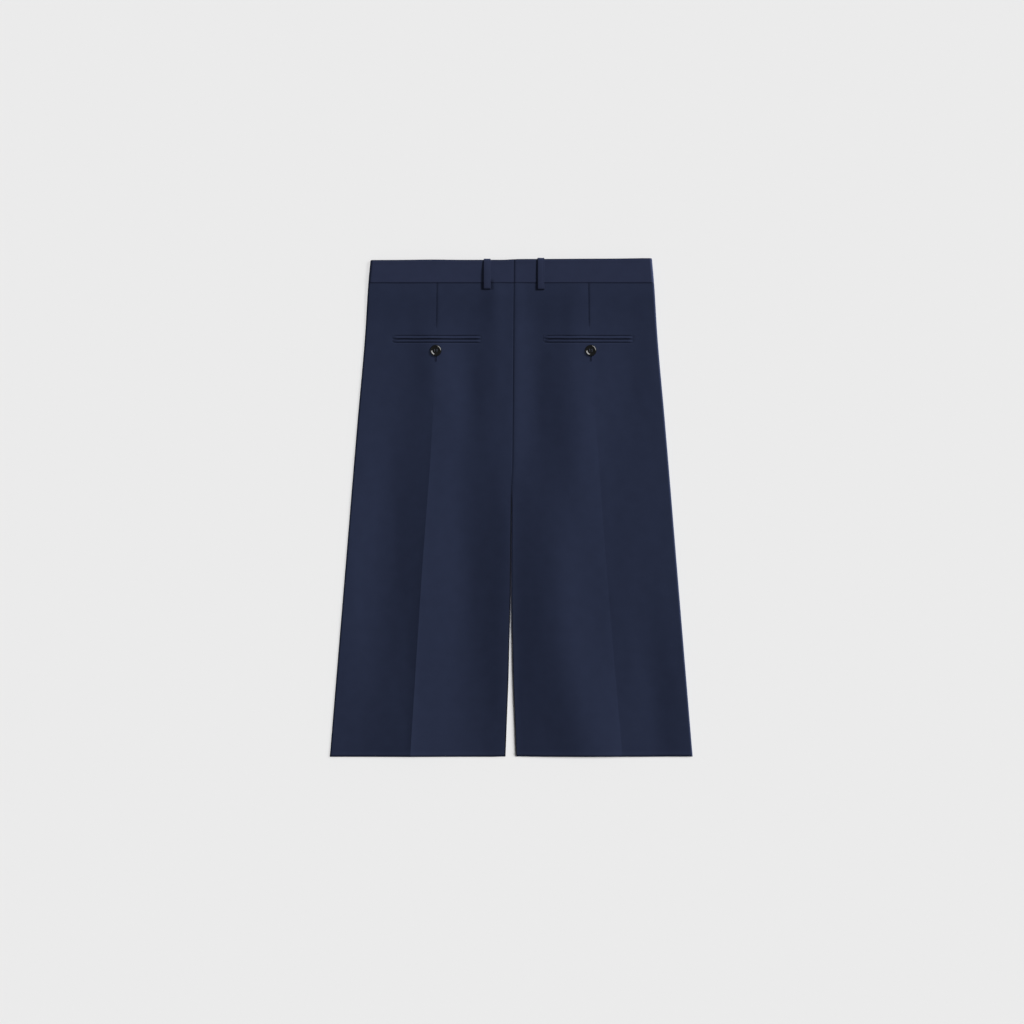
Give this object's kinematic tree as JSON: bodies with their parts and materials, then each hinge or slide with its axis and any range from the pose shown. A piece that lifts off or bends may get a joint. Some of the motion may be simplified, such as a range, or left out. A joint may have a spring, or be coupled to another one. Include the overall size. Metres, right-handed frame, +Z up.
{
  "type": "tailored bermuda shorts",
  "caption": "Wide-leg tailored bermuda shorts laid flat, back up, with a waistband, belt loops, darts, double-welt back pockets with buttons, and pressed creases.",
  "frame": {"origin": "on the surface that the shorts lie on, under the middle of their bounding box", "axes": "+X to the wearer's right, +Y towards the waist, +Z up from the surface, on the back's side"},
  "size_m": [0.526, 0.7214, 0.0115],
  "materials": {
    "suiting": "matt navy wool suiting, fine twill",
    "band_suiting": "matt navy wool suiting over firm interlining",
    "button": "polished black resin",
    "zip_tape": "woven polyester tape"
  },
  "bodies": {
    "root": {"back_left": "suiting", "front_left": "suiting", "waistband_left": "band_suiting", "belt_loop_back_left": "band_suiting", "belt_loop_side_left": "band_suiting", "belt_loop_front_left": "band_suiting", "pocket_welt_upper_left": "suiting", "pocket_welt_lower_left": "suiting", "pocket_button_left": "button", "back_right": "suiting", "front_right": "suiting", "waistband_right": "band_suiting", "belt_loop_back_right": "band_suiting", "belt_loop_side_right": "band_suiting", "belt_loop_front_right": "band_suiting", "pocket_welt_upper_right": "suiting", "pocket_welt_lower_right": "suiting", "pocket_button_right": "button", "fly_zip": "zip_tape"}
  },
  "joints": []
}
